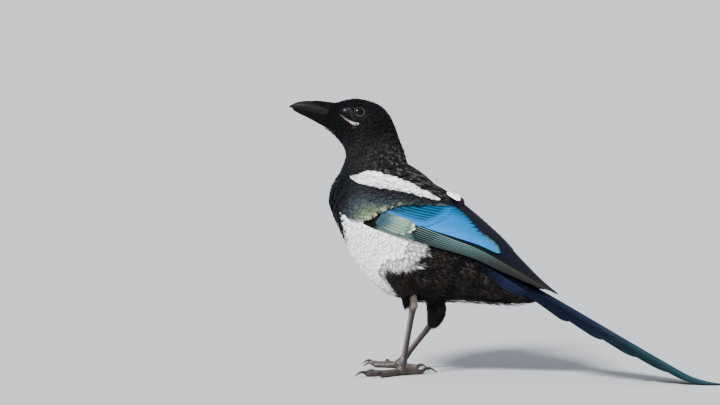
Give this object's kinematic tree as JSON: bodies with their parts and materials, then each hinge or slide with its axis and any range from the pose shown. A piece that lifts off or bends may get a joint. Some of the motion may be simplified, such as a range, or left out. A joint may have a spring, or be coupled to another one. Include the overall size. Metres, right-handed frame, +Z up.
{
  "type": "eurasian magpie",
  "caption": "Life-size young Eurasian magpie standing still on both feet, head turned a little to its left and tail resting on the ground.",
  "frame": {"origin": "on the ground, under the middle of the bird's length from bill tip to tail tip", "axes": "+X towards the tail, +Y towards the bird's right side, +Z up; the bill points along -X"},
  "size_m": [0.3329, 0.0956, 0.2019],
  "materials": {
    "black_feathers": "soft black-brown with a faint green and bronze gloss",
    "body_feathers": "soft white belly and flanks with a black breast, back, rump and vent",
    "wing_feathers": "glossy blue-green vanes with black shoulders and a white scapular patch",
    "tail_feathers": "glossy dark blue-green vanes",
    "horn": "smooth black horn",
    "leg_skin": "dark grey-brown scales",
    "eye": "wet dark brown"
  },
  "bodies": {
    "root": {"bill_upper": "horn", "bill_lower": "horn", "head": "black_feathers", "neck": "black_feathers", "torso": "body_feathers", "wing_left": "wing_feathers", "wing_right": "wing_feathers", "tail": "tail_feathers", "eye_left": "eye", "eye_right": "eye", "thigh_left": "black_feathers", "tarsus_left": "leg_skin", "foot_left": "leg_skin", "toe_hind_left": "leg_skin", "claw_hind_left": "horn", "toe_inner_left": "leg_skin", "claw_inner_left": "horn", "toe_middle_left": "leg_skin", "claw_middle_left": "horn", "toe_outer_left": "leg_skin", "claw_outer_left": "horn", "thigh_right": "black_feathers", "tarsus_right": "leg_skin", "foot_right": "leg_skin", "toe_hind_right": "leg_skin", "claw_hind_right": "horn", "toe_inner_right": "leg_skin", "claw_inner_right": "horn", "toe_middle_right": "leg_skin", "claw_middle_right": "horn", "toe_outer_right": "leg_skin", "claw_outer_right": "horn"}
  },
  "joints": []
}
